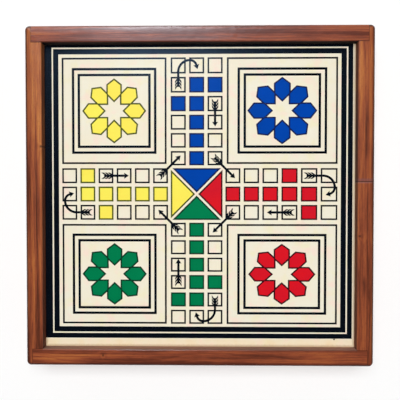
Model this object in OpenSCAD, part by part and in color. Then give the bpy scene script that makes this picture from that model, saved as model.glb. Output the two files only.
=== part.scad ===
// Folding ludo board box: a closed box of two equal trays, hinged along the back.
// The upper tray is the lid and carries the ludo board, let in below its rails.
// +X is to the right, +Y to the back, where the hinges are, and +Z is up.
// The origin is on the ground, under the middle of the board.

/* [Box] */
// Width of the box, left to right
board_w = 406; // [360:1:480]
// Depth of the box, front to back
board_h = 397; // [360:1:470]
// Height of each tray
tray_h = 28; // [25:0.5:45]
// Gap between the closed trays
seam = 0.4; // [0.3:0.1:1]
// Width of each rail
rail_w = 19; // [17:0.5:26]
// Radius of the box's upright corners
corner_r = 5; // [3:0.5:8]
// Rounding of the lid's outer upper edge
face_edge = 1.8; // [0.5:0.1:2.5]
// Rounding of the lid's inner upper edge
inner_edge = 1.5; // [0.5:0.1:2.5]
// Rounding of every other long edge
small_edge = 0.6; // [0.3:0.1:1]

/* [Corner joints] */
// Thickness of the side rails' tongues, which cover the ends of the front and back rails
tongue = 6.8; // [5:0.2:9]
// Place of the splice in the lid's right rail, forward of the back rail
splice_back = 162; // [120:1:190]
// Radius of the nails
nail_r = 0.8; // [0.5:0.1:1.2]
// Length of the nails
nail_len = 24; // [16:1:32]
// Radius of the nails' heads
nail_head_r = 1.3; // [1.2:0.1:1.8]
// Thickness of the nails' heads
nail_head_t = 0.8; // [0.5:0.1:1.2]
// Distance between the two nails of each joint in the base
nail_pitch = 10; // [6:1:12]

/* [Panels] */
// Thickness of the board and of the floor
panel_t = 4; // [3:0.5:5]
// Depth of the grooves that hold them
groove = 5; // [3:0.5:7]
// Clearance at each edge of a panel in its groove
panel_fit = 0.3; // [0.1:0.1:0.6]
// Depth of the board below the lid's face
recess = 14; // [10:0.5:16]
// Height of the floor above the ground
floor_lift = 3; // [2:0.5:5]

/* [Hinges] */
// Length of each hinge
hinge_len = 50; // [40:1:70]
// Distance of each hinge from the side of the box
hinge_inset = 93; // [60:1:120]
// Depth of each leaf into the rail
leaf_w = 14; // [12:0.5:16]
// Thickness of the leaves
leaf_t = 1.2; // [1:0.1:1.6]
// Radius of the hinge pins
hinge_pin_r = 1.25; // [1:0.05:1.5]
// Wall of the knuckles
knuckle_wall = 1.15; // [0.9:0.05:1.4]
// Number of knuckles
knuckles = 5; // [3:2:7]
// Gap between neighbouring knuckles
knuckle_gap = 0.3; // [0.2:0.1:0.6]
// Thickness of the pins' end heads
pin_head_t = 1; // [0.6:0.1:1.5]
// Screws in each leaf
leaf_screws = 3; // [2:1:4]
// Distance between the leaf screws
leaf_screw_pitch = 18; // [12:1:18]
// Radius of the leaf screws
screw_r = 1.1; // [0.9:0.05:1.3]
// Radius of the leaf screws' flat heads
screw_head_r = 2.2; // [1.9:0.1:2.6]
// Length of the leaf screws
screw_len = 10; // [8:0.5:12]

/* [Hooks] */
// Distance of each hook's pivot from the side of the box
hook_inset = 93; // [60:1:120]
// Height of the hook pivots above the bottom of the lid
pivot_rise = 11; // [9:0.5:13]
// Distance of the catch studs below the top of the base
stud_drop = 9; // [7:0.5:12]
// Thickness of the hooks
hook_t = 1.5; // [1:0.1:2]
// Width of the hooks' arms
hook_w = 6; // [4.5:0.5:7]
// Metal around the pivot hole and the notch
hook_rim = 2.8; // [2:0.1:3.5]
// Length of the finger tab beyond the notch
hook_tab = 3; // [1:0.5:4]
// Radius of the pivot screws and of the studs
stud_r = 1.5; // [1.2:0.1:1.8]
// Radius of their round heads
stud_head_r = 3.2; // [2.8:0.1:4]
// Thickness of their round heads
stud_head_t = 1.4; // [1:0.1:2]
// Depth of the pivot screws and of the studs in the wood
stud_depth = 12; // [8:0.5:14]
// Clearance on each side of a stud in its notch
notch_fit = 0.6; // [0.5:0.1:1]

/* [Fits] */
// Radial clearance of a pin or pivot that turns
turn_fit = 0.05; // [0.02:0.01:0.1]
// Clearance of screws and nails in their holes, and of leaves in their beds
fixed_fit = 0.05; // [0.02:0.01:0.1]
// Clearance of a moving part beside what it passes
pass_fit = 0.3; // [0.2:0.05:0.5]

/* [Print] */
// Thickness of the cream ground
ground_t = 0.2; // [0.1:0.05:0.4]
// Thickness of the inks
ink_t = 0.15; // [0.1:0.05:0.3]
// Clearance of the ground inside the rails
ground_fit = 0.1; // [0.05:0.05:0.5]
// Cream strip between the border and the right rail
strip_right = 2.9; // [1:0.1:6]
// Cream strip between the border and the front rail
strip_front = 10.1; // [6:0.1:13]
// Outer band between the white line and the left rail
band_left = 8.6; // [6:0.1:10]
// Outer band between the white line and the back rail
band_back = 3.2; // [1:0.1:5]
// Outer band at the right and at the front
band_out = 5.8; // [3:0.1:7]
// White line in the border
border_line = 1.7; // [1:0.1:3]
// Inner band of the border
band_in = 6.3; // [4:0.1:8]
// Space between the border and the home squares
home_margin = 4; // [2:0.1:8]
// The same space in front of the front home squares
home_margin_front = 3.4; // [2:0.1:8]
// How far the cross lies left of the middle of the border
cross_left = 3.2; // [0:0.1:6]
// How far the cross lies in front of the middle of the border
cross_front = 3.6; // [0:0.1:6]
// Side of a cell, as a share of the board's smaller side
cell_share = 0.0496; // [0.042:0.0001:0.051]
// Gap between the cells across a road, as a share of a cell
cell_gap_share = 0.224; // [0.12:0.001:0.29]
// Gap between the square at the centre and the first cells, as a share of a cell
hub_gap_share = 0.191; // [0.12:0.001:0.35]
// Space between the cells and a home square, as a share of a cell
road_margin_share = 0.283; // [0.15:0.001:0.38]
// Growth of the cells' length, going outwards, on the right and back roads
row_growth = 0.2; // [0:0.05:0.3]
// Thickness of the outline of an empty cell
cell_line = 1.9; // [0.8:0.1:2.2]
// Thickness of the outlines round coloured figures
figure_line = 1.8; // [0.6:0.1:2]
// Thickness of a home square's thin line
home_line = 2.1; // [1:0.1:2.5]
// Thickness of a home square's two thick lines
frame_line = 2.9; // [1.5:0.1:3.5]
// Distance of the outer thick line inside the thin line, as a share of the home square
frame_step_share = 0.096; // [0.06:0.001:0.105]
// Distance between the two thick lines, as a share of the home square
frame_pitch_share = 0.055; // [0.035:0.001:0.06]
// Reach of the red, blue, yellow and green rosettes, as shares of their home squares
rosette_share = [0.302, 0.313, 0.303, 0.306]; // [0.25:0.001:0.315]
// Width of the cream cross between the triangles at the centre
saltire_w = 2.6; // [2:0.1:6]
// Width of an arrow's shaft, as a share of a cell, as all of an arrow's sizes are
arrow_line_share = 0.152; // [0.06:0.001:0.17]
// Radius of the curved arrows where they leave their first lane
arrow_bend_share = 0.775; // [0.7:0.001:0.84]
// Radius of the curved arrows where they turn back
arrow_hook_share = 0.449; // [0.35:0.001:0.52]
// Distance of an arrow's tail inside its cell
arrow_inset_share = 0.18; // [0.12:0.001:0.23]
// Length of the straight arrows
arrow_len_share = 1.85; // [1.5:0.001:2.1]
// Length of the slanting arrows
slant_len_share = 2.13; // [1.75:0.001:2.3]
// Half the width of an arrow's head
head_half_share = 0.2; // [0.12:0.001:0.26]
// Length of an arrow's head
head_len_share = 0.32; // [0.23:0.001:0.46]
// Number of barbs on an arrow's tail
barbs = 3; // [2:1:4]
// Distance between the barbs
barb_pitch_share = 0.208; // [0.19:0.001:0.25]
// Reach of a barb to each side of the shaft
barb_half_share = 0.212; // [0.145:0.001:0.26]
// How far a barb sweeps back along the shaft
barb_sweep_share = 0.14; // [0.06:0.001:0.19]
// Thickness of a barb along the shaft
barb_t_share = 0.16; // [0.06:0.001:0.16]

/* [Hidden] */
$fn = 48;

SIDES = [-1, 1];
LEFT = -1;
RIGHT = 1;
eps = 1; // how far a cutting shape reaches past what it cuts

// Box
half_w = board_w / 2;
half_h = board_h / 2;
open_w = board_w - 2 * rail_w;
open_h = board_h - 2 * rail_w;
lid_z = tray_h + seam;
function seam_face(up) = up > 0 ? lid_z : tray_h; // up is 1 for the lid and -1 for the base
splice_y = half_h - rail_w - splice_back;

// Panels
panel_w = open_w + 2 * (groove - panel_fit);
panel_h = open_h + 2 * (groove - panel_fit);
board_lift = tray_h - recess - panel_t; // height of the board above the bottom of the lid
board_top = lid_z + tray_h - recess;

// Heights of the two nails in each corner joint: below and above the board in the lid, and
// spread over the clear wood above the floor in the base
lid_nail_z = [board_lift / 2, tray_h - recess / 2];
base_nail_middle = (floor_lift + panel_t + tray_h) / 2;
base_nail_z = [base_nail_middle - nail_pitch / 2, base_nail_middle + nail_pitch / 2];

// Hinges
hinge_x = half_w - hinge_inset;
knuckle_r = hinge_pin_r + turn_fit + knuckle_wall;
hinge_y = half_h + knuckle_r + pass_fit;
hinge_z = tray_h + seam / 2;
knuckle_pitch = hinge_len / knuckles;

// Hooks, which lie in a layer between the wood and the heads of their screws and studs
hook_x = half_w - hook_inset;
pivot_z = lid_z + pivot_rise;
stud_z = tray_h - stud_drop;
hook_reach = pivot_z - stud_z;
notch_half = stud_r + notch_fit;
head_y = pass_fit + hook_t + pass_fit; // distance of a round head in front of the wood

// Border of the print, as distances from the middle of the board
border_left = open_w / 2 - band_left;
border_back = open_h / 2 - band_back;
border_right = open_w / 2 - strip_right - band_out;
border_front = open_h / 2 - strip_front - band_out;
cross_x = (border_right - border_left) / 2 - cross_left;
cross_y = (border_back - border_front) / 2 - cross_front;

// The four roads run right, back, left and front of the middle of the cross.
// road_end is how far each one reaches, which is where the home squares beside it end too.
border_w = border_line + band_in;
home_step = border_w + home_margin;
road_end = [border_right - cross_x - home_step, border_back - cross_y - home_step,
    border_left + cross_x - home_step, border_front + cross_y - border_w - home_margin_front];
ROADS = [0, 1, 2, 3];
GROWING = [true, true, false, false]; // the cells of these roads are longer going outwards
cell = cell_share * min(open_w, open_h);
cell_gap = cell_gap_share * cell;
lane = cell + cell_gap;
hub_half = (3 * cell + 2 * cell_gap) / 2;
hub_gap = hub_gap_share * cell;
road_half = hub_half + road_margin_share * cell;

// A cell is [row, lane]: rows count from 1 at the outer end to 6, and lanes are 1, 0 and -1
PAINTED = [[2, 0], [3, 0], [4, 0], [5, 0], [6, 0], [3, 1], [2, -1]];
EMPTY = [[1, 1], [1, 0], [1, -1], [2, 1], [3, -1], [4, 1], [4, -1], [5, 1], [5, -1],
    [6, 1], [6, -1]];
ROWS = 6;

// Rosettes: the eight petals overlap a little outside their inner shoulders
petals = 8;
petal_half = 0.236; // half the width of a petal, for each millimetre of the rosette's radius
petal_tip = 0.273; // distance of a petal's inner tip from the middle, likewise
petal_shoulder = 0.818; // where a petal starts to narrow to its outer tip, likewise
inner_angle = 45; // half the angle of a petal's inner tip
figure_overlap = 0.3; // how far the outline of a petal reaches out past the petal

// Arrows
arrow_line = arrow_line_share * cell;
arrow_bend = arrow_bend_share * cell;
arrow_hook = arrow_hook_share * cell;
bend_grow = 0.04; // how much wider to each side than a straight shaft a bent one is
bend_lap = 0.3; // how far a straight shaft runs into a bent one
arrow_inset = arrow_inset_share * cell;
arrow_len = arrow_len_share * cell;
slant_len = slant_len_share * cell;
head_half = head_half_share * cell;
head_len = head_len_share * cell;
head_notch = head_len * 0.88; // from an arrow's tip to the notch in its head
barb_pitch = barb_pitch_share * cell;
barb_half = barb_half_share * cell;
barb_sweep = barb_sweep_share * cell;
barb_t = barb_t_share * cell;
tail_len = barb_sweep + barb_t; // from an arrow's end to the root of its first barb

function road_before(k) = (k + 3) % 4;
function growth(k) = GROWING[k] ? row_growth : 0;
function row_pitch(k) =
    (road_end[k] + cell_gap - hub_half - hub_gap) / ROWS - ROWS * growth(k);
// Where the rows begin, the first one next to the hub being row 0 here
function row_start(k, n) = hub_half + hub_gap + n * (row_pitch(k) + n * growth(k));
// Inner and outer end of a cell
function cell_low(k, row) = row_start(k, ROWS - row);
function cell_high(k, row) = row_start(k, ROWS - row + 1) - cell_gap;

// ---------- shared shapes ----------

// A rectangle standing on the axis, with rounded lower and upper corners
module rounded_section(w, h, low_r, top_r) {
    translate([-w / 2, low_r])
        square([w, h - low_r - top_r]);
    translate([-w / 2 + low_r, 0])
        square([w - 2 * low_r, h / 2]);
    translate([-w / 2 + top_r, h / 2])
        square([w - 2 * top_r, h / 2]);
    for (s = SIDES) {
        translate([s * (w / 2 - low_r), low_r])
            circle(low_r);
        translate([s * (w / 2 - top_r), h - top_r])
            circle(top_r);
    }
}

// The section of an opening whose upper and lower edges are rounded over
module flared_section(w, h, low_r, top_r) {
    translate([-w / 2, -eps])
        square([w, h + 2 * eps]);
    difference() {
        translate([-w / 2 - top_r, h - top_r])
            square([w + 2 * top_r, top_r + eps]);
        for (s = SIDES)
            translate([s * (w / 2 + top_r), h - top_r])
                circle(top_r);
    }
    difference() {
        translate([-w / 2 - low_r, -eps])
            square([w + 2 * low_r, low_r + eps]);
        for (s = SIDES)
            translate([s * (w / 2 + low_r), low_r])
                circle(low_r);
    }
}

module along_x(length) {
    translate([-length / 2, 0, 0])
        rotate([90, 0, 90])
            linear_extrude(length)
                children();
}

module along_y(length) {
    translate([0, length / 2, 0])
        rotate([90, 0, 0])
            linear_extrude(length)
                children();
}

// One tray's block of wood, with round upright corners and round edges
module tray_block(low_r, top_r) {
    along_x(board_w - 2 * corner_r)
        rounded_section(board_h, tray_h, low_r, top_r);
    along_y(board_h - 2 * corner_r)
        rounded_section(board_w, tray_h, low_r, top_r);
    for (sx = SIDES, sy = SIDES)
        translate([sx * (half_w - corner_r), sy * (half_h - corner_r), 0])
            rotate_extrude()
                intersection() {
                    rounded_section(2 * corner_r, tray_h, low_r, top_r);
                    square([corner_r, tray_h]);
                }
}

module tray_opening(low_r, top_r) {
    intersection() {
        along_x(open_w + 2 * eps + 2 * top_r)
            flared_section(open_h, tray_h, low_r, top_r);
        along_y(open_h + 2 * eps + 2 * top_r)
            flared_section(open_w, tray_h, low_r, top_r);
    }
}

// Ground plan of the right rail: a long tongue outside, and a shorter part between the other rails
module side_plan() {
    polygon([[half_w + eps, -half_h - eps], [half_w + eps, half_h + eps],
        [half_w - tongue, half_h + eps], [half_w - tongue, half_h - rail_w],
        [half_w - rail_w - eps, half_h - rail_w], [half_w - rail_w - eps, -half_h + rail_w],
        [half_w - tongue, -half_h + rail_w], [half_w - tongue, -half_h - eps]]);
}

// Ground plan of the back rail, which ends inside the tongues
module end_plan() {
    translate([-half_w + tongue, half_h - rail_w])
        square([board_w - 2 * tongue, rail_w + eps]);
    translate([-open_w / 2, half_h - rail_w - eps])
        square([open_w, 2 * eps]);
}

// The wood of one tray inside a ground plan, with the groove for its panel
module rail(low_r, top_r, top_inner_r, panel_lift) {
    difference() {
        intersection() {
            tray_block(low_r, top_r);
            linear_extrude(tray_h)
                children();
        }
        tray_opening(small_edge, top_inner_r);
        translate([-open_w / 2 - groove, -open_h / 2 - groove, panel_lift])
            cube([open_w + 2 * groove, open_h + 2 * groove, panel_t]);
    }
}

module panel() {
    translate([-panel_w / 2, -panel_h / 2, 0])
        cube([panel_w, panel_h, panel_t]);
}

module lid_rail() {
    translate([0, 0, lid_z])
        rail(small_edge, face_edge, inner_edge, board_lift)
            children();
}

module base_rail() {
    rail(small_edge, small_edge, small_edge, floor_lift)
        children();
}

// A cutting shape for a hole starts outside the wood or the metal
function overshoot(fit) = fit > 0 ? eps : 0;

// A nail with its head at the origin, driven along +X; its hole is the same with a clearance
module nail(fit) {
    rotate([0, 90, 0]) {
        translate([0, 0, -overshoot(fit)])
            cylinder(r = nail_head_r + fit, h = nail_head_t + overshoot(fit));
        cylinder(r = nail_r + fit, h = nail_len + fit);
    }
}

// Nails through the tongues on one side
module nails(side, heights, fit) {
    for (sy = SIDES, z = heights)
        translate([side * half_w, sy * (half_h - rail_w / 2), z])
            rotate([0, 0, side > 0 ? 180 : 0])
                nail(fit);
}

module all_nails(heights, fit) {
    for (side = SIDES)
        nails(side, heights, fit);
}

module lid_nails(fit) {
    translate([0, 0, lid_z])
        all_nails(lid_nail_z, fit);
}

module base_nails(fit) {
    all_nails(base_nail_z, fit);
}

// A round head standing on the origin
module round_head(r, t) {
    edge = t / 2;
    rotate_extrude() {
        square([r - edge, t]);
        square([r, t - edge]);
        translate([r - edge, t - edge])
            intersection() {
                circle(edge);
                square(edge);
            }
    }
}

// ---------- hinges ----------

// Places its children on both leaves' screw places, pointing up
module leaf_screw_places(side) {
    for (i = [0 : leaf_screws - 1])
        translate([side * hinge_x + (i - (leaf_screws - 1) / 2) * leaf_screw_pitch,
            half_h - leaf_w / 2, 0])
            children();
}

// A flat-headed screw, head up, with the top of its head at the origin; its hole likewise
module leaf_screw(fit) {
    if (fit > 0)
        cylinder(r = screw_head_r + fit, h = eps);
    translate([0, 0, -leaf_t])
        cylinder(r1 = screw_r + fit, r2 = screw_head_r + fit, h = leaf_t);
    translate([0, 0, -screw_len - fit])
        cylinder(r = screw_r + fit, h = screw_len + fit);
}

module slotted_leaf_screw() {
    difference() {
        leaf_screw(0);
        translate([-screw_head_r - eps, -screw_r / 4, -leaf_t / 3])
            cube([2 * screw_head_r + 2 * eps, screw_r / 2, leaf_t]);
    }
}

// Sets a screw in the seam with its head towards the other tray
module seam_screw(up) {
    translate([0, 0, seam_face(up)])
        mirror([0, 0, up > 0 ? 1 : 0])
            children();
}

// The bed of a leaf, cut into a rail from the seam
module leaf_bed(side, up) {
    z = up > 0 ? lid_z - eps : tray_h - leaf_t;
    translate([side * hinge_x - hinge_len / 2 - fixed_fit, half_h - leaf_w - fixed_fit, z])
        cube([hinge_len + 2 * fixed_fit, leaf_w + fixed_fit + eps, leaf_t + eps]);
    leaf_screw_places(side)
        seam_screw(up)
            leaf_screw(fixed_fit);
}

module hinge_beds(up) {
    for (side = SIDES)
        leaf_bed(side, up);
}

// One hinge leaf; first is 0 where it owns the outer knuckles and 1 where it owns the others
module leaf(side, up, first) {
    z = up > 0 ? lid_z : tray_h - leaf_t;
    difference() {
        union() {
            translate([side * hinge_x - hinge_len / 2, half_h - leaf_w, z])
                cube([hinge_len, leaf_w, leaf_t]);
            for (i = [first : 2 : knuckles - 1])
                translate([side * hinge_x - hinge_len / 2 + i * knuckle_pitch + knuckle_gap / 2, 0, 0]) {
                    translate([0, half_h - eps, z])
                        cube([knuckle_pitch - knuckle_gap, hinge_y - half_h + eps, leaf_t]);
                    translate([0, hinge_y, hinge_z])
                        rotate([0, 90, 0])
                            cylinder(r = knuckle_r, h = knuckle_pitch - knuckle_gap);
                }
        }
        translate([side * hinge_x - hinge_len / 2 - eps, hinge_y, hinge_z])
            rotate([0, 90, 0])
                cylinder(r = hinge_pin_r + turn_fit, h = hinge_len + 2 * eps);
        leaf_screw_places(side)
            seam_screw(up)
                leaf_screw(fixed_fit);
    }
}

module hinge_pin(side) {
    translate([side * hinge_x - hinge_len / 2, hinge_y, hinge_z])
        rotate([0, 90, 0]) {
            cylinder(r = hinge_pin_r, h = hinge_len);
            for (s = SIDES)
                translate([0, 0, hinge_len / 2 + s * hinge_len / 2])
                    mirror([0, 0, s > 0 ? 0 : 1])
                        round_head(knuckle_r - pass_fit, pin_head_t);
        }
}

// ---------- hooks ----------

// Outline of the right hook: the pivot is at the origin, the arm runs along +X, the notch opens down
module hook_outline() {
    difference() {
        union() {
            circle(stud_r + turn_fit + hook_rim);
            translate([0, -hook_w / 2])
                square([hook_reach, hook_w]);
            translate([hook_reach, 0])
                circle(notch_half + hook_rim);
            translate([hook_reach, -hook_w / 2])
                square([notch_half + hook_rim + hook_tab, hook_w]);
            translate([hook_reach + notch_half + hook_rim + hook_tab, 0])
                circle(hook_w / 2);
        }
        circle(stud_r + turn_fit);
        translate([hook_reach, 0])
            circle(notch_half);
        translate([hook_reach - notch_half, -notch_half - 2 * hook_rim])
            square([2 * notch_half, notch_half + 2 * hook_rim]);
    }
}

// A hook swung clear of its stud; the left one is the mirror image of the right one
module hook(side) {
    translate([side * hook_x, -half_h - pass_fit, pivot_z])
        mirror([side > 0 ? 0 : 1, 0, 0])
            rotate([90, 0, 0])
                linear_extrude(hook_t)
                    hook_outline();
}

// A round-headed screw or stud in the front of the box, at height z
module front_stud(side, z) {
    translate([side * hook_x, -half_h, z])
        rotate([90, 0, 0])
            difference() {
                union() {
                    translate([0, 0, -stud_depth])
                        cylinder(r = stud_r, h = stud_depth + head_y + stud_head_t / 2);
                    translate([0, 0, head_y])
                        round_head(stud_head_r, stud_head_t);
                }
                translate([-stud_head_r - eps, -stud_r / 4, head_y + stud_head_t / 2])
                    cube([2 * stud_head_r + 2 * eps, stud_r / 2, stud_head_t]);
            }
}

module front_stud_holes(z) {
    for (side = SIDES)
        translate([side * hook_x, -half_h - eps, z])
            rotate([-90, 0, 0])
                cylinder(r = stud_r + fixed_fit, h = stud_depth + fixed_fit + eps);
}

// ---------- print ----------

// A rectangular line whose outside runs from low to high
module frame_lines(low, high, t) {
    difference() {
        translate(low)
            square(high - low);
        translate(low + [t, t])
            square(high - low - 2 * [t, t]);
    }
}

// The part of the border inside the white line
module border_rectangle(inset) {
    translate([-border_left + inset, -border_front + inset])
        square([border_left + border_right - 2 * inset, border_front + border_back - 2 * inset]);
}

// Two dark bands with the white line between them; the outer one runs to the left and back rails
module border_bands() {
    difference() {
        translate([-open_w / 2 + ground_fit, -border_front - band_out])
            square([open_w / 2 - ground_fit + border_right + band_out,
                open_h / 2 - ground_fit + border_front + band_out]);
        border_rectangle(0);
    }
    difference() {
        border_rectangle(border_line);
        border_rectangle(border_line + band_in);
    }
}

// Places its children in the frame of road k: +X runs outwards along the road
module on_road(k) {
    translate([cross_x, cross_y])
        rotate(90 * k)
            children();
}

// The area of a cell inside a line of thickness inset
module cell_area(k, place, inset) {
    low = cell_low(k, place[0]) + inset;
    translate([low, place[1] * lane - cell / 2 + inset])
        square([cell_high(k, place[0]) - inset - low, cell - 2 * inset]);
}

module cell_ring(k, place, t) {
    difference() {
        cell_area(k, place, 0);
        cell_area(k, place, t);
    }
}

// Corner points of one barb on the upper side of a shaft, which points along +X
function barb_side(i) =
    let (x = tail_len + i * barb_pitch,
        root = x - tail_len * arrow_line / 2 / barb_half)
    [[root, arrow_line / 2], [x - tail_len, barb_half], [x - barb_sweep, barb_half],
        [root + barb_t, arrow_line / 2]];

// A shaft that ends at x = length, with barbs that sweep back from both sides of its tail
module barbed_shaft(length) {
    side = [for (i = [0 : barbs - 1]) each barb_side(i)];
    polygon(concat(side, [[length, arrow_line / 2], [length, -arrow_line / 2]],
        [for (i = [len(side) - 1 : -1 : 0]) [side[i][0], -side[i][1]]]));
}

module arrow_head() {
    polygon([[0, 0], [-head_len, head_half], [-head_notch, 0], [-head_len, -head_half]]);
}

// A straight arrow from the origin along +X
module arrow(length) {
    barbed_shaft(length - head_len / 2);
    translate([length, 0])
        arrow_head();
}

// A stroke along a circle of radius r round the origin, clockwise from +Y through an angle
module arc_stroke(r, angle) {
    intersection() {
        difference() {
            circle(r + arrow_line / 2 + bend_grow);
            circle(r - arrow_line / 2 - bend_grow);
        }
        polygon([[0, 0], [0, 2 * r], [2 * r, 2 * r],
            if (angle > 90) [2 * r, 0],
            2 * r * [sin(angle), cos(angle)]]);
    }
}

// The curved arrow runs outwards along one lane and turns back into the end cell of the next
module curved_arrow(k) {
    start = cell_low(k, 2) + arrow_inset;
    top = cell_high(k, 1) - arrow_inset; // the outermost point of its middle line
    bend = top - arrow_bend;
    back_angle = 75;
    translate([start, lane])
        barbed_shaft(bend - start + bend_lap);
    translate([bend, lane - arrow_bend])
        arc_stroke(arrow_bend, 90);
    translate([top - arrow_hook, lane - arrow_bend]) {
        rotate(-90)
            arc_stroke(arrow_hook, back_angle);
        rotate(-back_angle)
            translate([arrow_hook, 0])
                rotate(-90)
                    translate([head_notch, 0])
                        arrow_head();
    }
}

// The straight arrow runs inwards from the third cell of the last lane
module straight_arrow(k) {
    translate([cell_high(k, 3) - arrow_inset, -lane])
        rotate(180)
            arrow(arrow_len);
}

// The slanting arrow from the last cell of this road to the first cell of the road before it
module slant_arrow(k) {
    first = (cell_low(k, ROWS) + cell_high(k, ROWS)) / 2; // the middle of the first cell
    middle = (first + lane) / 2;
    translate([middle, -middle])
        rotate(-135)
            translate([-slant_len / 2, 0])
                arrow(slant_len);
}

// Corner points of the home square of road k, in that road's frame
function home_low(k) = [road_half, -road_end[road_before(k)]];
function home_high(k) = [road_end[k], -road_half];

module home_frames(k) {
    low = home_low(k);
    high = home_high(k);
    step = frame_step_share * (high - low);
    pitch = frame_pitch_share * (high - low);
    frame_lines(low, high, home_line);
    frame_lines(low + step, high - step, frame_line);
    frame_lines(low + step + pitch, high - step - pitch, frame_line);
}

// Corner points of a petal of a rosette whose tips are at distance r; grow moves its sides outwards
function petal(r, grow) =
    let (half = petal_half * r,
        shoulder = petal_tip * r + half / tan(inner_angle),
        outer_shoulder = petal_shoulder * r,
        outer_angle = atan(half / (r - outer_shoulder)),
        inner_x = shoulder - grow * tan(inner_angle / 2),
        outer_x = outer_shoulder + grow * tan(outer_angle / 2))
    [[r + grow / sin(outer_angle), 0], [outer_x, half + grow], [inner_x, half + grow],
        [petal_tip * r - grow / sin(inner_angle), 0],
        [inner_x, -half - grow], [outer_x, -half - grow]];

// A point turned round the origin and then stretched along X and Y
function turned(point, angle, stretch) =
    [stretch[0] * (point[0] * cos(angle) - point[1] * sin(angle)),
        stretch[1] * (point[0] * sin(angle) + point[1] * cos(angle))];

// The rosette in the home square of road k, stretched as that square is
module rosette(k, grow) {
    size = home_high(k) - home_low(k);
    mean = (size[0] + size[1]) / 2;
    translate((home_high(k) + home_low(k)) / 2)
        for (i = [0 : petals - 1])
            polygon([for (point = petal(rosette_share[k] * mean, grow))
                turned(point, 360 / petals * i, size / mean)]);
}

// One of the four triangles round the middle of the cross
module hub_triangle(shrink) {
    gap = saltire_w / sqrt(2) + shrink * sqrt(2);
    edge = hub_half - shrink;
    polygon([[gap, 0], [edge, edge - gap], [edge, gap - edge]]);
}

module ink(layer_t) {
    translate([0, 0, board_top + ground_t])
        linear_extrude(layer_t)
            children();
}

// The coloured areas of road k and of its home square
module colour(k) {
    ink(ink_t)
        on_road(k) {
            for (place = PAINTED)
                cell_area(k, place, figure_line);
            hub_triangle(figure_line);
            rosette(k, figure_overlap - figure_line);
        }
}

module line_work() {
    border_bands();
    for (k = ROADS)
        on_road(k) {
            for (place = EMPTY)
                cell_ring(k, place, cell_line);
            home_frames(k);
            curved_arrow(k);
            straight_arrow(k);
            slant_arrow(k);
        }
}

module figure_outlines() {
    for (k = ROADS)
        on_road(k) {
            for (place = PAINTED)
                cell_ring(k, place, figure_line);
            difference() {
                hub_triangle(0);
                hub_triangle(figure_line);
            }
            difference() {
                rosette(k, figure_overlap);
                rosette(k, figure_overlap - figure_line);
            }
        }
}

// ---------- the pieces ----------

module lid_rail_left() {
    color("#9c5230")
        difference() {
            lid_rail()
                mirror([1, 0])
                    side_plan();
            lid_nails(fixed_fit);
        }
}

// The lid's right rail is two lengths of wood that meet at the splice
module lid_rail_right(low_y, high_y) {
    color("#9c5230")
        difference() {
            lid_rail()
                intersection() {
                    side_plan();
                    translate([half_w - 2 * rail_w, low_y])
                        square([3 * rail_w, high_y - low_y]);
                }
            lid_nails(fixed_fit);
        }
}

module lid_rail_right_back() {
    lid_rail_right(splice_y, half_h + eps);
}

module lid_rail_right_front() {
    lid_rail_right(-half_h - eps, splice_y);
}

module lid_rail_back() {
    color("#8f4a2e")
        difference() {
            lid_rail()
                end_plan();
            lid_nails(fixed_fit);
            hinge_beds(1);
        }
}

module lid_rail_front() {
    color("#8f4a2e")
        difference() {
            lid_rail()
                mirror([0, 1])
                    end_plan();
            lid_nails(fixed_fit);
            front_stud_holes(pivot_z);
        }
}

module lid_panel() {
    color("#c9a877")
        translate([0, 0, lid_z + board_lift])
            panel();
}

module print_ground() {
    color("#f5ead6")
        translate([-open_w / 2 + ground_fit, -open_h / 2 + ground_fit, board_top])
            cube([open_w - 2 * ground_fit, open_h - 2 * ground_fit, ground_t]);
}

module print_lines() {
    color("#10151f")
        ink(ink_t)
            line_work();
}

module print_outlines() {
    color("#2b2a1c")
        ink(ink_t)
            figure_outlines();
}

module print_red() {
    color("#e8192c")
        colour(0);
}

module print_blue() {
    color("#0a45ad")
        colour(1);
}

module print_yellow() {
    color("#faee52")
        colour(2);
}

module print_green() {
    color("#0a814c")
        colour(3);
}

module lid_corner_nails() {
    color("#8a8078")
        lid_nails(0);
}

module base_rail_left() {
    color("#9c5230")
        difference() {
            base_rail()
                mirror([1, 0])
                    side_plan();
            base_nails(fixed_fit);
        }
}

module base_rail_right() {
    color("#9c5230")
        difference() {
            base_rail()
                side_plan();
            base_nails(fixed_fit);
        }
}

module base_rail_back() {
    color("#8f4a2e")
        difference() {
            base_rail()
                end_plan();
            base_nails(fixed_fit);
            hinge_beds(-1);
        }
}

module base_rail_front() {
    color("#8f4a2e")
        difference() {
            base_rail()
                mirror([0, 1])
                    end_plan();
            base_nails(fixed_fit);
            front_stud_holes(stud_z);
        }
}

module base_panel() {
    color("#c9a877")
        translate([0, 0, floor_lift])
            panel();
}

module base_corner_nails() {
    color("#8a8078")
        base_nails(0);
}

module hinge_leaf(side, up) {
    color("#b8923f")
        leaf(side, up, up > 0 ? 1 : 0);
}

module hinge_screws(up) {
    color("#b8923f")
        for (side = SIDES)
            leaf_screw_places(side)
                seam_screw(up)
                    slotted_leaf_screw();
}

module brass_hook(side) {
    color("#c09a48")
        hook(side);
}

module hook_pivot_screw(side) {
    color("#c09a48")
        front_stud(side, pivot_z);
}

module catch_stud(side) {
    color("#c09a48")
        front_stud(side, stud_z);
}

module brass_pin(side) {
    color("#c09a48")
        hinge_pin(side);
}

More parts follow.
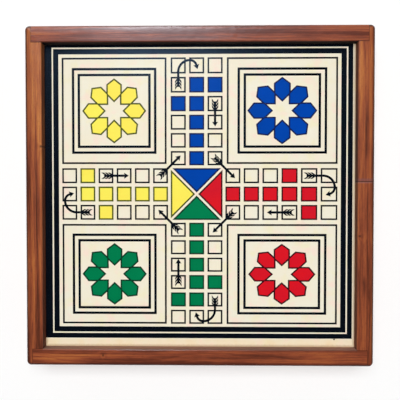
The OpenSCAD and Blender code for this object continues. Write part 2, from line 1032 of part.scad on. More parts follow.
lid_rail_left();
lid_rail_right_back();
lid_rail_right_front();
lid_rail_back();
lid_rail_front();
lid_panel();
print_ground();
print_lines();
print_outlines();
print_red();
print_blue();
print_yellow();
print_green();
lid_corner_nails();
base_rail_left();
base_rail_right();
base_rail_back();
base_rail_front();
base_panel();
base_corner_nails();
hinge_leaf(LEFT, -1);  // hinge_left_base_leaf
hinge_leaf(RIGHT, -1);  // hinge_right_base_leaf
hinge_leaf(LEFT, 1);  // hinge_left_lid_leaf
hinge_leaf(RIGHT, 1);  // hinge_right_lid_leaf
brass_pin(LEFT);  // hinge_left_pin
brass_pin(RIGHT);  // hinge_right_pin
hinge_screws(-1);  // hinge_base_screws
hinge_screws(1);  // hinge_lid_screws
brass_hook(LEFT);  // hook_left
brass_hook(RIGHT);  // hook_right
hook_pivot_screw(LEFT);  // hook_pivot_screw_left
hook_pivot_screw(RIGHT);  // hook_pivot_screw_right
catch_stud(LEFT);  // catch_stud_left
catch_stud(RIGHT);  // catch_stud_right
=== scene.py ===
# %% [markdown]
# # A folding ludo board box
#
# The object is a shallow wooden box of two trays, hinged along the back. The lid's top is a ludo
# board, let in 14 mm below a hardwood frame. The solids, with their joints, come from the packed
# model; this script adds the finishes, a drip of ink, light and a camera. Every length here is in
# metres, in the same frame as the solids: +X right, +Y to the hinges, +Z up.

# %% Load the solid model
import math

import bmesh
import bpy
from mathutils import Matrix, Vector, noise


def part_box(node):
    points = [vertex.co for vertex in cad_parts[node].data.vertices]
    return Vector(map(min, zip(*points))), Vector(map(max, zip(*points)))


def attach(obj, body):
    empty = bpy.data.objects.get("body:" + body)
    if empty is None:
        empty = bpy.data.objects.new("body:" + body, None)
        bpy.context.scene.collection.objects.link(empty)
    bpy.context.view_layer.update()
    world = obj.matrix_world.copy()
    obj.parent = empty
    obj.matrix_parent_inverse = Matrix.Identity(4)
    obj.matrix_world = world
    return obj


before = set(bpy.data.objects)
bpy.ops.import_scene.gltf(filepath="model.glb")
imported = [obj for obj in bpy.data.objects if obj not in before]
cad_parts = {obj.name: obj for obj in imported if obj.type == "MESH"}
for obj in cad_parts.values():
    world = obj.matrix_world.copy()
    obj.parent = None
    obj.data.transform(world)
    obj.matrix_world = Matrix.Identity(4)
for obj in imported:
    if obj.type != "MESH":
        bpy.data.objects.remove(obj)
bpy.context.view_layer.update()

scene = bpy.context.scene
scene.view_settings.view_transform = "Standard"
MM = 0.001

# %% [markdown]
# ## Sizes read from the solids
#
# Worn edges, joint lines and dust have to lie where the solids' own edges lie. The numbers could be
# typed in, but then a finish would drift off its edge when the box is resized. The solids' boxes
# give them instead, in millimetres.


# %% Sizes
def reach(node, side, axis):
    """Where a solid ends along an axis, in millimetres. side 0 is its low end, 1 its high end."""
    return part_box(node)[side]["xyz".index(axis)] / MM


HALF_W = reach("lid_rail_right_front", 1, "x")
HALF_H = reach("lid_rail_back", 1, "y")
RAIL = HALF_W - reach("lid_rail_right_front", 0, "x")
TONGUE = HALF_W - reach("lid_rail_back", 1, "x")
SPLICE_Y = reach("lid_rail_right_front", 1, "y")
FACE_Z = reach("lid_rail_left", 1, "z")
PARTING_Z = reach("lid_rail_left", 0, "z")
GROUND_Z = reach("print_ground", 1, "z")
CROSS_X = (reach("print_red", 0, "x") + reach("print_yellow", 1, "x")) / 2
CROSS_Y = (reach("print_blue", 0, "y") + reach("print_green", 1, "y")) / 2
print("rails", round(RAIL, 2), "wide, cross at", (round(CROSS_X, 2), round(CROSS_Y, 2)))

# %% [markdown]
# ## The camera
#
# The box lies flat and is looked at from straight above, a little right of and behind its middle,
# from 0.7 m. A camera in Blender looks along its own -Z. Its turn could be set with a Track To
# constraint, but then roll follows the constraint's own rule; a matrix built from three axes keeps
# the box's back edge level.

# %% The camera
EYE = Vector((13.0, 12.2, 756.4)) * MM
AIM = Vector((0.95, -4.0, 56.4)) * MM
LENS, SENSOR = 54.09, 36.0  # the focal length and the width of the sensor, in millimetres
NEAR_CLIP = 0.01


def aim(thing, eye, target, up):
    """Puts a camera or a lamp at eye, looking at target."""
    forward = (target - eye).normalized()
    right = forward.cross(up).normalized()
    axes = Matrix((right, right.cross(forward), -forward)).transposed()
    thing.matrix_world = Matrix.Translation(eye) @ axes.to_4x4()


camera = bpy.data.objects.new("camera", bpy.data.cameras.new("camera"))
camera.data.lens = LENS
camera.data.sensor_width = SENSOR
camera.data.clip_start = NEAR_CLIP
scene.collection.objects.link(camera)
aim(camera, EYE, AIM, Vector((0, 1, 0)))
scene.camera = camera
print("camera:", tuple(round(v, 4) for v in camera.location), "lens", LENS)

# %% [markdown]
# ## A short way to write materials
#
# A procedural material is a chain of small nodes. Wiring each one by hand takes four lines, so a
# helper adds a node, sets its plain values and plugs in what it is given. Numbers go straight to
# the node's own sockets; only what changes over the surface is wired.


# %% Helpers for materials
class Mixture:
    """One material under construction, with its main shader."""

    def __init__(self, name, **settings):
        self.material = bpy.data.materials.new(name)
        self.material.use_nodes = True
        self.tree = self.material.node_tree
        self.shader = self.tree.nodes["Principled BSDF"]
        self.feed(self.shader, settings)
        self.place = self.node("ShaderNodeTexCoord").outputs["Object"]

    def feed(self, node, inputs):
        """Plugs sockets into a node's inputs and sets plain values, by name or number."""
        for socket, value in inputs.items():
            target = node.inputs[socket if isinstance(socket, int) else socket.replace("_", " ")]
            if isinstance(value, bpy.types.NodeSocket):
                self.tree.links.new(value, target)
            else:
                target.default_value = value

    def node(self, kind, settings=None, **inputs):
        """Adds a node with its own settings and its inputs."""
        node = self.tree.nodes.new(kind)
        for key, value in (settings or {}).items():
            setattr(node, key, value)
        self.feed(node, inputs)
        return node

    def maths(self, operation, *values, clamp=False):
        node = self.node("ShaderNodeMath", {"operation": operation, "use_clamp": clamp})
        self.feed(node, dict(enumerate(values)))
        return node.outputs[0]

    def vector(self, operation, *values):
        node = self.node("ShaderNodeVectorMath", {"operation": operation})
        self.feed(node, dict(enumerate(values)))
        return node.outputs["Value" if operation in ("LENGTH", "DISTANCE") else "Vector"]

    def axes(self, vector):
        """The X, Y and Z of a vector."""
        return self.node("ShaderNodeSeparateXYZ", Vector=vector).outputs

    def stretch(self, scale, shift=(0, 0, 0), turn=0.0):
        """The place on the object, scaled for a texture; turn is about Z, in radians."""
        node = self.node("ShaderNodeMapping", Vector=self.place, Scale=scale, Location=shift)
        node.inputs["Rotation"].default_value = (0, 0, turn)
        return node.outputs["Vector"]

    def speckle(self, vector, size, detail=2.0, rough=0.5):
        """Soft noise from 0 to 1 with blotches about 1 / size wide."""
        node = self.node("ShaderNodeTexNoise", Vector=vector, Scale=size, Detail=detail)
        node.inputs["Roughness"].default_value = rough
        return node.outputs["Fac"]

    def between(self, value, low, high, out_low=0.0, out_high=1.0):
        """Maps low..high smoothly to out_low..out_high."""
        node = self.node("ShaderNodeMapRange", {"interpolation_type": "SMOOTHSTEP"}, Value=value)
        self.feed(node, {1: low, 2: high, 3: out_low, 4: out_high})
        return node.outputs["Result"]

    def blend(self, share, first, second, mode="MIX"):
        """The first colour where share is 0, the second where it is 1."""
        node = self.node("ShaderNodeMix", {"data_type": "RGBA", "blend_type": mode})
        self.feed(node, {0: share, 6: first, 7: second})
        return node.outputs[2]

    def ramp(self, value, *stops):
        """A colour that runs through the stops, each a position and a colour."""
        node = self.node("ShaderNodeValToRGB", Fac=value)
        band = node.color_ramp
        while len(band.elements) < len(stops):
            band.elements.new(0.5)
        for element, (position, colour) in zip(band.elements, stops):
            element.position = position
            element.color = colour
        return node.outputs["Color"]

    def relief(self, height, depth, distance=1.0 * MM):
        """A bump from a height of 0 to 1; further calls stack on it."""
        normal = getattr(self, "normal", None)
        node = self.node("ShaderNodeBump", Height=height, Strength=depth, Distance=distance)
        if normal:
            self.tree.links.new(normal, node.inputs["Normal"])
        self.normal = node.outputs["Normal"]

    def finish(self, **inputs):
        """Feeds the main shader and gives back the material."""
        self.feed(self.shader, inputs)
        if getattr(self, "normal", None):
            self.tree.links.new(self.normal, self.shader.inputs["Normal"])
        return self.material


PER_MM = (1 / MM, 1 / MM, 1 / MM)  # a stretch that gives places in millimetres
FLAT_MM = (1 / MM, 1 / MM, 0)  # the same on a flat sheet, whatever the height
WHITE = (1, 1, 1, 1)


def linear(red, green, blue):
    """A colour given as on a screen, 0 to 255, in the shader's linear light."""
    steps = [v / 255 for v in (red, green, blue)]
    return (*[v / 12.92 if v < 0.04045 else ((v + 0.055) / 1.055) ** 2.4 for v in steps], 1.0)


def paint(nodes, material):
    """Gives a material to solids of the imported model."""
    for name in nodes:
        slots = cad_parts[name].data.materials
        if not slots:
            slots.append(material)
        for i in range(len(slots)):
            slots[i] = material


print("helpers ready")

# %% [markdown]
# ## Hardwood rails
#
# The frame is a dense reddish-brown hardwood with golden streaks, under glossy lacquer. One picture
# of wood pasted on every rail would repeat and would show no end grain. A solid texture is better:
# the growth rings are cylinders round a pith that lies outside the rail, so faces, edges and ends
# each cut them as a saw would. Noise stretched 100 times along the grain adds the streaks, finer
# noise adds pores. Each rail has its own place in the log, and its grain runs along its length.
#
# Use shows at the edges. Stain has gathered on the outer ones, with painted shade where a rounded
# edge turns from the light, and sanding has domed the faces, so a lamp's reflection fades across a
# rail. The inner faces are never polished: they are matt, painted dark with stain and shade round
# three sides, and pale with dust and painted light in front. The dome and the pores are bumps. They
# could be cut into the mesh, but they are shallower than a hair and would cost a million faces.

# %% Hardwood
# How far in from an outer edge the stain and painted shade are full, where they end, and how far a
# face is domed, in mm
STAIN_SHADE_FULL, STAIN_SHADE_END, DOME = 1.0, 4.0, 9.0
OPEN_W, OPEN_H = HALF_W - RAIL, HALF_H - RAIL
DARK_WOOD, RED_WOOD = linear(86, 42, 26), linear(136, 68, 42)
# Inner faces' films: near black stain and painted shade for the shaded walls, pale dust and painted
# light for the lit front one
INNER_STAIN_AND_SHADE, DUST_AND_PAINTED_LIGHT = linear(10, 5, 6), linear(196, 158, 138)
ORANGE_WOOD, GOLD_WOOD = linear(162, 90, 48), linear(194, 124, 62)
# The outer edges' dark colour is stain and painted shade
KNOT_WOOD, PORE_WOOD, EDGE_STAIN_AND_SHADE = linear(52, 22, 14), linear(62, 28, 18), linear(50, 22, 16)
ROSY_WOOD, JOINT_LINE = linear(140, 52, 44), linear(44, 20, 14)
# The splice's smear is glue with painted sheen, its pale line a painted highlight
GLUE_AND_SHEEN, SPLICE_HIGHLIGHT = linear(122, 78, 76), linear(188, 154, 152)
# A knot in the front rail, one in the right rail, and a dark bruise at the left rail's inner edge
KNOTS = [(-113.0, -186.5), (186.5, -46.0), (-185.0, 58.6)]
KNOT_REACH, KNOT_PUSH = 7.0, 3.2  # how far round a knot the grain bends, and by how much, in mm
KNOT_CORE, KNOT_RIM = 0.7, 2.1  # where a knot's dark middle is full and where it ends, in mm
RING, WANDER = 3.4, 22.0  # the width of a growth ring, and how far the rings wander, in mm
TONGUE_LINE, SHOULDER_LINE, SEAM_LINE = 0.45, 0.4, 0.9  # half the widths of the joints' dark lines
SMEAR_SHIFT, SMEAR_HALF = 1.0, 3.4  # where the smear of glue and painted sheen lies from the splice, and its half width
PALE_SHIFT, PALE_LINE = -1.5, 0.7  # the same for the pale line of painted highlight in front of it
# How far past a solid's edge a mask reaches, so that the edge itself lies inside it
SLACK, JOINT_SLACK = 0.2, 0.3


def hardwood(name, along_y, log_place, pith, tone, fade, redness,
             edges=0.85, inner_share=0.35, film=INNER_STAIN_AND_SHADE):
    """A rail's wood. tone lightens it, fade lightens it toward the back as painted light, redness
    reddens it.
    edges is how dark stain and painted shade make its outer edges, inner_share how much film lies
    on its inner face."""
    wood = Mixture(name, Coat_Roughness=0.16, Specular_IOR_Level=0.4)
    x, y, z = wood.axes(wood.stretch(PER_MM))
    # Grain flows round a knot: a bump in the ring distance
    swirl, dark_knot = 0.0, 0.0
    for knot_x, knot_y in KNOTS:
        spot = wood.node("ShaderNodeCombineXYZ", X=wood.maths("SUBTRACT", x, knot_x),
                         Y=wood.maths("SUBTRACT", y, knot_y), Z=0.0).outputs[0]
        away = wood.vector("LENGTH", spot)
        swirl = wood.maths("ADD", swirl, wood.between(away, 0.0, KNOT_REACH, KNOT_PUSH, 0.0))
        dark_knot = wood.maths("ADD", dark_knot,
                               wood.between(away, KNOT_CORE, KNOT_RIM, 1.0, 0.0))
    grain = wood.stretch(PER_MM, log_place, -math.pi / 2 if along_y else 0.0)

    def along(slowness, size, detail, rough):
        """Noise stretched along the grain."""
        drawn_out = wood.vector("MULTIPLY", grain, (slowness, 1.0, 1.0))
        return wood.speckle(drawn_out, size, detail, rough)

    lean = wood.maths("MULTIPLY", wood.maths("SUBTRACT", along(0.1, 0.06, 2.0, 0.5), 0.5), WANDER)
    off_pith = wood.axes(wood.vector("ADD", grain, (0.0, *pith)))
    radius = wood.vector("LENGTH", wood.node(
        "ShaderNodeCombineXYZ", X=0.0, Y=off_pith["Y"], Z=off_pith["Z"]).outputs[0])
    radius = wood.maths("ADD", wood.maths("ADD", radius, lean), swirl)
    ring = wood.maths("FRACT", wood.maths("MULTIPLY", radius, 1 / RING))
    late_wood = wood.maths("MULTIPLY", wood.between(ring, 0.1, 0.85),
                           wood.between(ring, 0.85, 1.0, 1, 0))
    broad, patch = along(0.02, 0.2, 2.0, 0.5), along(0.3, 0.035, 2.0, 0.5)
    streak, fine = along(0.012, 0.6, 4.0, 0.6), along(0.04, 1.9, 3.0, 0.6)
    figure = wood.maths("MULTIPLY_ADD", broad, 0.75, tone)
    for part, weight in ((streak, 0.45), (fine, 0.42), (patch, 0.55)):
        swing = wood.maths("SUBTRACT", part, 0.5)
        figure = wood.maths("ADD", figure, wood.maths("MULTIPLY", swing, weight))
    figure = wood.maths("SUBTRACT", figure, wood.maths("MULTIPLY", late_wood, 0.09))
    # Painted light: the rail grows lighter toward the back, as if the light fell off toward the
    # front
    figure = wood.maths("MULTIPLY_ADD", y, fade / HALF_H, figure)
    colour = wood.ramp(figure, (0.12, DARK_WOOD), (0.3, RED_WOOD), (0.46, ORANGE_WOOD),
                       (0.68, GOLD_WOOD))
    colour = wood.blend(redness, colour, ROSY_WOOD)
    pores = wood.between(along(0.09, 2.6, 1.0, 0.5), 0.60, 0.72)
    colour = wood.blend(wood.maths("MULTIPLY", pores, 0.4), colour, PORE_WOOD)
    colour = wood.blend(wood.maths("MULTIPLY", dark_knot, 0.75), colour, KNOT_WOOD)
    # Joints: the tongue of a side rail covers the end of the next rail
    away_x = wood.maths("ABSOLUTE", x)
    away_y = wood.maths("ABSOLUTE", y)

    def near(value, middle, half):
        """1 where value is close to middle, 0 from half away on."""
        distance = wood.maths("ABSOLUTE", wood.maths("SUBTRACT", value, middle))
        return wood.between(distance, half * 0.4, half, 1, 0)

    def both(first, second):
        """The share of a place that lies in both masks."""
        return wood.maths("MULTIPLY", first, second)

    in_corner = wood.maths("GREATER_THAN", away_y, OPEN_H - JOINT_SLACK)
    tongue_line = both(near(away_x, HALF_W - TONGUE, TONGUE_LINE), in_corner)
    shoulder = both(wood.maths("LESS_THAN", away_x, HALF_W - TONGUE + JOINT_SLACK),
                    wood.maths("GREATER_THAN", away_x, OPEN_W - SLACK))
    shoulder_line = both(near(away_y, OPEN_H, SHOULDER_LINE), shoulder)
    # The splice in the lid's right rail: a dark seam with a smear of old glue and painted sheen
    # round it, and a pale painted highlight in front
    lid_right = both(wood.maths("GREATER_THAN", z, PARTING_Z - SLACK),
                     wood.maths("GREATER_THAN", x, 0.0))
    glue_sheen_smear = both(near(y, SPLICE_Y + SMEAR_SHIFT, SMEAR_HALF), lid_right)
    colour = wood.blend(both(glue_sheen_smear, wood.between(fine, 0.3, 0.6, 0.35, 0.7)), colour, GLUE_AND_SHEEN)
    # Painted highlight: a pale line just in front of the seam
    highlight_line = both(near(y, SPLICE_Y + PALE_SHIFT, PALE_LINE), lid_right)
    colour = wood.blend(both(highlight_line, 0.15), colour, SPLICE_HIGHLIGHT)
    joints = wood.maths("MAXIMUM", wood.maths("MAXIMUM", tongue_line, shoulder_line),
                        both(near(y, SPLICE_Y, SEAM_LINE), lid_right))
    colour = wood.blend(both(joints, 0.7), colour, JOINT_LINE)
    # Stain, and painted shade where a rounded edge turns from the light, darken the outer edges. On
    # a face, one distance to the outer faces is 0. Near an edge a second one is small, so the
    # middle value of the three tells the edge
    from_x = wood.maths("SUBTRACT", HALF_W, away_x)
    from_y = wood.maths("SUBTRACT", HALF_H, away_y)
    from_z = wood.maths("ABSOLUTE", wood.maths("SUBTRACT", z, FACE_Z))
    for level in (PARTING_Z, 0.0):
        from_level = wood.maths("ABSOLUTE", wood.maths("SUBTRACT", z, level))
        from_z = wood.maths("MINIMUM", from_z, from_level)
    edge = wood.maths("MAXIMUM", wood.maths("MINIMUM", from_x, from_y),
                      wood.maths("MINIMUM", wood.maths("MAXIMUM", from_x, from_y), from_z))
    ragged = wood.maths("MULTIPLY_ADD", wood.maths("SUBTRACT", fine, 0.5), 1.6, edge)
    stained_and_shaded = wood.between(ragged, STAIN_SHADE_FULL, STAIN_SHADE_END, edges, 0.0)
    colour = wood.blend(stained_and_shaded, colour, EDGE_STAIN_AND_SHADE)
    # Painted shade lies with stain on the inner faces, near black round three sides; the front one
    # gets pale dust and painted light. No polish reaches them
    inside = both(wood.maths("LESS_THAN", away_x, OPEN_W + SLACK),
                  wood.maths("LESS_THAN", away_y, OPEN_H + SLACK))
    colour = wood.blend(both(inside, inner_share), colour, film)
    # Sanding has domed the faces, most of all close to the outer edges
    flat = wood.maths("SUBTRACT", 1.0, wood.maths("MULTIPLY", edge, 1 / DOME), clamp=True)
    wood.relief(wood.maths("SUBTRACT", 1.0, both(flat, flat)), 1.0, 0.9 * MM)
    wood.relief(pores, 0.35, -0.08 * MM)
    wood.relief(streak, 0.5, 0.12 * MM)
    wood.relief(wood.speckle(wood.stretch(PER_MM), 0.11, 2.0), 0.6, 0.5 * MM)
    rough = wood.maths("MULTIPLY_ADD", streak, 0.16, wood.maths("MULTIPLY_ADD", pores, 0.15, 0.24))
    return wood.finish(Base_Color=colour, Roughness=wood.maths("MULTIPLY_ADD", inside, 0.5, rough),
                       Coat_Weight=wood.between(inside, 0.0, 1.0, 0.3, 0.0))


# The name, whether the grain runs along Y, the place in the log, the pith, the three tones (fade is
# painted light);
# then, where they differ, how dark stain and painted shade make the outer edges, and how much film
# lies on the inner face, of what
RAIL_WOOD = {
    "lid_rail_left": ("left", True, (31, 2.6, 0), (41, 30), 0.03, 0.09, 0.0),
    "lid_rail_right_back": ("right_back", True, (140, 61, 9), (-38, 52), -0.01, 0.06, 0.0),
    "lid_rail_right_front": ("right_front", True, (333, 17, 21), (60, 44), -0.01, 0.04, 0.02),
    "lid_rail_back": ("back", False, (77, 43, 5), (36, 61), -0.15, 0.0, 0.10, 0.0, 0.95),
    "lid_rail_front": ("front", False, (512, 23, 13), (-55, 37), -0.09, 0.0, 0.06, 0.85, 0.4, DUST_AND_PAINTED_LIGHT),
    "base_rail_left": ("base_left", True, (631, 71, 31), (44, 39), -0.03, 0.0, 0.06),
    "base_rail_right": ("base_right", True, (742, 87, 23), (-47, 41), 0.0, 0.0, 0.02),
    "base_rail_back": ("base_back", False, (853, 93, 17), (52, 47), -0.05, 0.0, 0.1),
    "base_rail_front": ("base_front", False, (964, 101, 11), (-33, 58), -0.01, 0.0, 0.05),
}
for rail, (name, *settings) in RAIL_WOOD.items():
    paint([rail], hardwood("hardwood_" + name, *settings))
print("rails:", len(RAIL_WOOD))

# %% [markdown]
# ## Plywood panels
#
# The board and the floor are 4 mm plywood. Where it is bare, inside the box and underneath, it is
# a pale rotary-cut veneer with broad wandering grain. Wide noise, stretched along X and pushed
# sideways by slower noise, gives that lazy figure.


# %% Plywood
PALE_PLY = ((0.32, linear(180, 136, 88)), (0.5, linear(206, 166, 116)),
            (0.68, linear(224, 192, 146)))
FLECK_PLY, LAYER_PLY = linear(130, 90, 56), linear(150, 108, 70)
DRIFT = 26.0  # how far the figure of the veneer is pushed sideways


def plywood(name, shift):
    """Bare plywood; shift moves its figure, so that two sheets differ."""
    ply = Mixture(name, Specular_IOR_Level=0.35)
    sheet = ply.stretch((0.012 / MM, 0.6 / MM, 1 / MM), shift)
    drift = ply.speckle(ply.stretch((0.005 / MM, 0.012 / MM, 0), shift), 1.0, 2.0)
    bent = ply.vector("ADD", sheet, ply.node(
        "ShaderNodeCombineXYZ", X=0.0, Y=ply.maths("MULTIPLY", drift, DRIFT), Z=0.0).outputs[0])
    veneer = ply.speckle(ply.vector("MULTIPLY", bent, (1.0, 0.35, 0.0)), 1.0, 4.0, 0.6)
    short = ply.vector("MULTIPLY", sheet, (2.0, 2.2, 0.0))
    flecks = ply.between(ply.speckle(short, 1.0, 1.0), 0.62, 0.74)
    layers = ply.maths("PINGPONG", ply.maths("MULTIPLY", ply.axes(ply.place)["Z"], 1 / MM), 1.0)
    colour = ply.ramp(veneer, *PALE_PLY)
    colour = ply.blend(ply.maths("MULTIPLY", flecks, 0.35), colour, FLECK_PLY)
    colour = ply.blend(ply.maths("MULTIPLY", layers, 0.12), colour, LAYER_PLY)
    ply.relief(veneer, 0.5, 0.04 * MM)
    ply.relief(flecks, 0.4, -0.05 * MM)
    return ply.finish(Base_Color=colour, Roughness=ply.between(veneer, 0.2, 0.8, 0.62, 0.5))


paint(["lid_panel"], plywood("plywood_board", (12, 5, 0)))
paint(["base_panel"], plywood("plywood_floor", (47, 31, 0)))
print("panels: 2")

# %% [markdown]
# ## Enamel ground and screen inks
#
# The board's upper face has a cream enamel ground, and the figures are screened over it one colour
# at a time. Neither is perfectly flat in colour: the cream is warmer where it has aged, and ink
# lies thicker in some places. So each coat gets slow blotches, a fine mottle, and a faint relief
# of the ply's grain that shows through every layer. Gloss changes with the mottle too.


# %% Enamel and inks
def coat(name, thick, thin, spread, gloss, mirror, tint=WHITE):
    """A coat of enamel or ink that changes from the thick to the thin colour, the more slowly the
    wider the spread. gloss is its least roughness, mirror how strongly it reflects."""
    film = Mixture(name, Specular_IOR_Level=mirror, Specular_Tint=tint)
    slow = film.speckle(film.stretch(FLAT_MM), 0.018, 3.0, 0.6)
    mottle = film.speckle(film.stretch(FLAT_MM, (17, 3, 0)), 0.8, 3.0, 0.65)
    ply_grain = film.speckle(film.stretch((0.03 / MM, 0.5 / MM, 0), (5, 0, 0)), 1.0, 3.0, 0.6)
    tone = film.maths("MULTIPLY", slow, 0.6)
    for part, weight in ((mottle, 0.25), (ply_grain, 0.15)):
        tone = film.maths("MULTIPLY_ADD", part, weight, tone)
    share = film.between(tone, 0.5 - spread, 0.5 + spread)
    film.relief(ply_grain, 0.35, 0.06 * MM)
    film.relief(mottle, 0.3, 0.03 * MM)
    return film, film.blend(share, thick, thin), film.maths("MULTIPLY_ADD", mottle, 0.12, gloss)


def plain_coat(*settings):
    """A coat with nothing more laid over it."""
    film, colour, rough = coat(*settings)
    return film.finish(Base_Color=colour, Roughness=rough)


# How much the inks spread, their roughness and their reflection; the black one is glossier
COLOUR_INK, BLACK_INK = (0.3, 0.28, 0.14), (0.3, 0.2, 0.4)
# Deep inks soak up part of the light that they mirror: what is left of its red, green and blue
BLACK_SHEEN, BLUE_SHEEN, GREEN_SHEEN = (0.45, 0.7, 1, 1), (0.3, 0.8, 1, 1), (0.4, 1, 0.9, 1)
INKS = {
    "print_lines": plain_coat(
        "black_ink", linear(3, 6, 12), linear(8, 14, 23), *BLACK_INK, BLACK_SHEEN),
    "print_red": plain_coat(
        "red_ink", linear(190, 18, 42), linear(222, 20, 24), *COLOUR_INK),
    "print_blue": plain_coat(
        "blue_ink", linear(0, 58, 148), linear(0, 66, 172), *COLOUR_INK, BLUE_SHEEN),
    "print_yellow": plain_coat(
        "yellow_ink", linear(244, 218, 82), linear(240, 234, 92), *COLOUR_INK),
    "print_green": plain_coat(
        "green_ink", linear(0, 110, 66), linear(0, 124, 76), *COLOUR_INK, GREEN_SHEEN),
}
for node, ink in INKS.items():
    paint([node], ink)
print("inks:", sorted(INKS))

# %% [markdown]
# The ground is painted a little darker in the corner that it makes with the rails: painted shade
# from the rails' walls. The distance to the nearest rail, roughened by noise, says where. Old
# enamel also
# yellows unevenly: two soft noises of about a cell's size pull it toward straw and toward rose.
# The bare strip in front, between the border and the front rail, is painted darker and warmer:
# painted shade, warm with light thrown back by the rail.

# %% Cream ground
WARM_CREAM, COOL_CREAM = linear(234, 223, 197), linear(232, 229, 212)
STRAW, ROSE, STRIP_SHADE = linear(233, 225, 190), linear(240, 217, 201), linear(230, 200, 150)
# The colour of the painted shade in the ground's corner along the rails
CORNER_SHADE = linear(176, 140, 98)
BORDER_Y = reach("print_lines", 0, "y")  # the front of the printed border
STRIP_IN, STRIP_OUT = 0.5, 2.5  # where the bare strip's painted shade starts and is full, from the border
film, colour, rough = coat("cream_enamel", WARM_CREAM, COOL_CREAM, 0.28, 0.24, 0.2)
ground_x, ground_y, _ = film.axes(film.stretch(PER_MM))
for shift, aged in (((60, 20, 0), STRAW), ((20, 90, 0), ROSE)):
    cloud = film.speckle(film.stretch(FLAT_MM, shift), 0.06, 2.0)
    colour = film.blend(film.between(cloud, 0.5, 0.72, 0.0, 0.8), colour, aged)
# Painted shade on the bare strip in front of the border, warm from the front rail
bare = film.between(ground_y, BORDER_Y + STRIP_IN, BORDER_Y - STRIP_OUT, 0.0, 0.6)
patchy = film.maths("MULTIPLY", bare, film.between(cloud, 0.2, 0.6, 1.0, 0.5))
colour = film.blend(patchy, colour, STRIP_SHADE)
edge = film.maths("MINIMUM", film.maths("SUBTRACT", OPEN_W, film.maths("ABSOLUTE", ground_x)),
                  film.maths("SUBTRACT", OPEN_H, film.maths("ABSOLUTE", ground_y)))
# Painted shade: darker within about two millimetres of the rails, broken up by noise
shade_noise = film.speckle(film.stretch(FLAT_MM, (9, 40, 0)), 0.35, 4.0, 0.7)
corner_shade = film.between(film.maths("MULTIPLY_ADD", shade_noise, -3.0, edge), -0.6, 2.2, 0.5, 0.0)
colour = film.blend(corner_shade, colour, CORNER_SHADE)
paint(["print_ground"], film.finish(Base_Color=colour, Roughness=rough))
print("ground painted")

# %% [markdown]
# The outlines of the figures are one solid, but their colour changes: a dark key line printed under
# yellow looks olive, under red maroon, under blue and green a darker shade of each. The line's
# place on the board tells which figure it belongs to. The roads and the middle square are cut by
# the two diagonals of the board, the home squares lie one in each quarter.

# %% Figure outlines
ROAD_HALF = 36.0  # three cells and their margins, half the width of a road, in millimetres
OLIVE, MAROON = linear(84, 92, 24), linear(62, 10, 20)
DEEP_BLUE, DEEP_GREEN = linear(0, 26, 84), linear(0, 58, 36)
DARK_GREY, MID_GREY = linear(70, 70, 70), linear(110, 110, 110)
film, shade, rough = coat("figure_outlines", DARK_GREY, MID_GREY, 0.3, 0.26, 0.2)
line_x, line_y, _ = film.axes(film.stretch(PER_MM, (-CROSS_X, -CROSS_Y, 0)))
away_x, away_y = film.maths("ABSOLUTE", line_x), film.maths("ABSOLUTE", line_y)
right = film.maths("GREATER_THAN", line_x, 0.0)
back = film.maths("GREATER_THAN", line_y, 0.0)
homes = film.blend(right, film.blend(back, DEEP_GREEN, OLIVE),
                   film.blend(back, MAROON, DEEP_BLUE))
roads = film.blend(film.maths("GREATER_THAN", away_x, away_y),
                   film.blend(back, DEEP_GREEN, DEEP_BLUE), film.blend(right, OLIVE, MAROON))
on_road = film.maths("LESS_THAN", film.maths("MINIMUM", away_x, away_y), ROAD_HALF)
colour = film.blend(on_road, homes, roads)
colour = film.blend(0.25, colour, shade, "MULTIPLY")
paint(["print_outlines"], film.finish(Base_Color=colour, Roughness=rough))
print("outlines tinted")

# %% [markdown]
# ## Metal
#
# Hinges, hooks and studs are stamped brass, gone dull where it isn't touched. Brushed streaks come
# from noise stretched along X, brown tarnish from slow noise. The nails are dull steel.


# %% Brass and steel
def metal(name, bright, dull, rough_low, rough_high):
    """Metal that tarnishes from bright to dull, and from the low roughness to the high one."""
    plate = Mixture(name, Metallic=0.8)
    brushed = plate.speckle(plate.stretch((0.15 / MM, 6 / MM, 6 / MM)), 1.0, 2.0)
    blotches = plate.speckle(plate.stretch(PER_MM), 0.3, 4.0, 0.65)
    tarnish = plate.between(blotches, 0.38, 0.68)
    plate.relief(brushed, 0.25, 0.02 * MM)
    plate.relief(tarnish, 0.3, 0.04 * MM)
    rough = plate.maths("ADD", plate.between(tarnish, 0.0, 1.0, rough_low, rough_high),
                        plate.maths("MULTIPLY", brushed, 0.08))
    return plate.finish(Base_Color=plate.blend(tarnish, bright, dull), Roughness=rough)


brass = metal("brass", linear(214, 178, 102), linear(150, 112, 58), 0.2, 0.42)
steel = metal("nail_steel", linear(160, 154, 148), linear(92, 80, 70), 0.3, 0.55)
paint([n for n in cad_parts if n.startswith(("hinge_", "hook_", "catch_"))], brass)
paint([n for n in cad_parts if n.endswith("corner_nails")], steel)
print("metal painted")

# %% [markdown]
# ## A drip of ink
#
# A drop of black ink fell on the bare strip in front of the border and dried there. It is a low
# dome with an uneven rim: a ring of points whose distance wanders, with smaller rings above it.


# %% Ink drip
WAVER, SQUASH, SEED = 0.35, 0.8, 3.0  # how far the rim wanders, how oval it is, and which rim


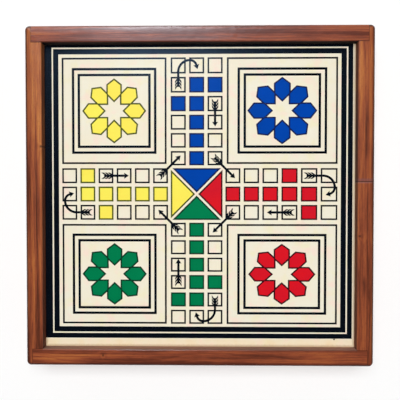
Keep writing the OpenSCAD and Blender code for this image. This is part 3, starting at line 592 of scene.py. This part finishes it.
def ink_drip(name, middle, radius, height, rings=4, points=20):
    """A low dome of dried ink, fixed to the lid."""
    shape = bmesh.new()
    rows = []
    for r in range(rings):
        rise = 0.5 * math.pi * r / rings
        row = []
        for i in range(points):
            turn = 2 * math.pi * i / points
            wander = 1 + WAVER * noise.noise(Vector((math.cos(turn), math.sin(turn), SEED)))
            flat = Vector((math.cos(turn), math.sin(turn) * SQUASH, 0)) * radius * math.cos(rise)
            up = Vector((0, 0, height * math.sin(rise)))
            row.append(shape.verts.new(middle + flat * wander + up))
        rows.append(row)
    top = shape.verts.new(middle + Vector((0, 0, height)))
    for low, high in zip(rows, rows[1:]):
        for i in range(points):
            j = (i + 1) % points
            shape.faces.new((low[i], low[j], high[j], high[i]))
    for i in range(points):
        shape.faces.new((rows[-1][i], rows[-1][(i + 1) % points], top))
    shape.faces.new(reversed(rows[0]))
    for face in shape.faces:
        face.smooth = True
    mesh = bpy.data.meshes.new(name)
    shape.to_mesh(mesh)
    shape.free()
    drop = bpy.data.objects.new(name, mesh)
    scene.collection.objects.link(drop)
    drop.data.materials.append(INKS["print_lines"])
    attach(drop, "lid")


DRIP_X, DRIP_Y = 160.2, BORDER_Y - 0.9
DRIP_R, DRIP_H, DRIP_SUNK = 1.1, 0.25, 0.02  # its radius, its height and how deep its foot lies
ink_drip("ink_drip", Vector((DRIP_X, DRIP_Y, GROUND_Z - DRIP_SUNK)) * MM, DRIP_R * MM, DRIP_H * MM)
print("drip at", (DRIP_X, round(DRIP_Y, 2)))

# %% [markdown]
# ## Floor and light
#
# The box lies on a plain pale floor under four soft lamps. Overhead and window only light the
# surfaces: overhead is wide and gives most of the light, window stands high behind the box and
# throws its shadow forward, into the recess and onto the floor. Sheen and glint are only seen in
# gloss: sheen is a cool patch where the flat of the back rail mirrors it, glint a brighter one that
# only the domed outer part of that rail tilts toward. One lamp could do all four jobs, but then the
# black inks, which mirror whatever is overhead, would turn grey. The sky is dark overhead for the
# same reason, and pale round the horizon, so that brass has something to reflect.


# %% Floor
FLOOR_HALF = 4.0
FLOOR_DROP = 0.02 * MM  # the gap under the box, so that the two faces don't flicker
PALE_CARD, PALER_CARD = (0.94, 0.94, 0.94, 1), (0.96, 0.96, 0.96, 1)


def floor(half):
    """A square of pale card under the box; half is half its side."""
    mesh = bpy.data.meshes.new("floor")
    corners = [(-half, -half, 0), (half, -half, 0), (half, half, 0), (-half, half, 0)]
    mesh.from_pydata(corners, [], [(0, 1, 2, 3)])
    plane = bpy.data.objects.new("floor", mesh)
    plane.location.z = -FLOOR_DROP
    scene.collection.objects.link(plane)
    card = Mixture("floor_card", Specular_IOR_Level=0.1, Roughness=0.9)
    grain = card.speckle(card.stretch((1, 1, 0)), 300.0, 3.0)
    plane.data.materials.append(card.finish(Base_Color=card.blend(grain, PALE_CARD, PALER_CARD)))


floor(FLOOR_HALF)
print("floor:", 2 * FLOOR_HALF, "m square")


# %% Lamps
def lamp(name, eye, target, size, watts, colour, shine):
    """A soft lamp. One with shine is seen only in gloss, the others only light the surfaces."""
    light = bpy.data.lights.new(name, "AREA")
    light.shape = "RECTANGLE"
    light.size, light.size_y = size
    light.energy = watts
    light.color = colour
    thing = bpy.data.objects.new(name, light)
    scene.collection.objects.link(thing)
    aim(thing, Vector(eye), Vector(target), Vector((0, 1, 0)))
    thing.visible_glossy = shine
    thing.visible_diffuse = not shine
    thing.visible_camera = False


lamp("overhead", (0.0, 0.0, 3.0), (0, 0, 0), (1.4, 1.4), 67.0, (1.0, 1.0, 0.99), False)
lamp("window", (-0.1, 1.05, 2.8), (0, 0, 0), (1.8, 0.7), 25.5, (1.0, 1.0, 1.0), False)
lamp("sheen", (-0.16, 0.55, 1.25), (-0.03, 0.19, 0.056), (0.42, 0.34), 2.0, (0.72, 0.84, 1.0), True)
lamp("glint", (-0.25, 1.25, 1.6), (-0.07, 0.19, 0.056), (0.26, 0.3), 26.0, (0.96, 0.94, 1.0), True)

# %% Sky
HORIZON, HORIZON_TOP = (0.55, 0.55, 0.55, 1), 0.05  # its colour, and how high it stays so bright
ZENITH, ZENITH_FOOT = (0.03, 0.03, 0.035, 1), 0.75
world = bpy.data.worlds.new("sky")
world.use_nodes = True
scene.world = world
tree = world.node_tree
up = tree.nodes.new("ShaderNodeSeparateXYZ")
tree.links.new(tree.nodes.new("ShaderNodeTexCoord").outputs["Generated"], up.inputs[0])
fade = tree.nodes.new("ShaderNodeValToRGB")
tree.links.new(up.outputs["Z"], fade.inputs["Fac"])
stops = ((HORIZON_TOP, HORIZON), (ZENITH_FOOT, ZENITH))
for element, (position, colour) in zip(fade.color_ramp.elements, stops):
    element.position = position
    element.color = colour
tree.links.new(fade.outputs["Color"], tree.nodes["Background"].inputs["Color"])
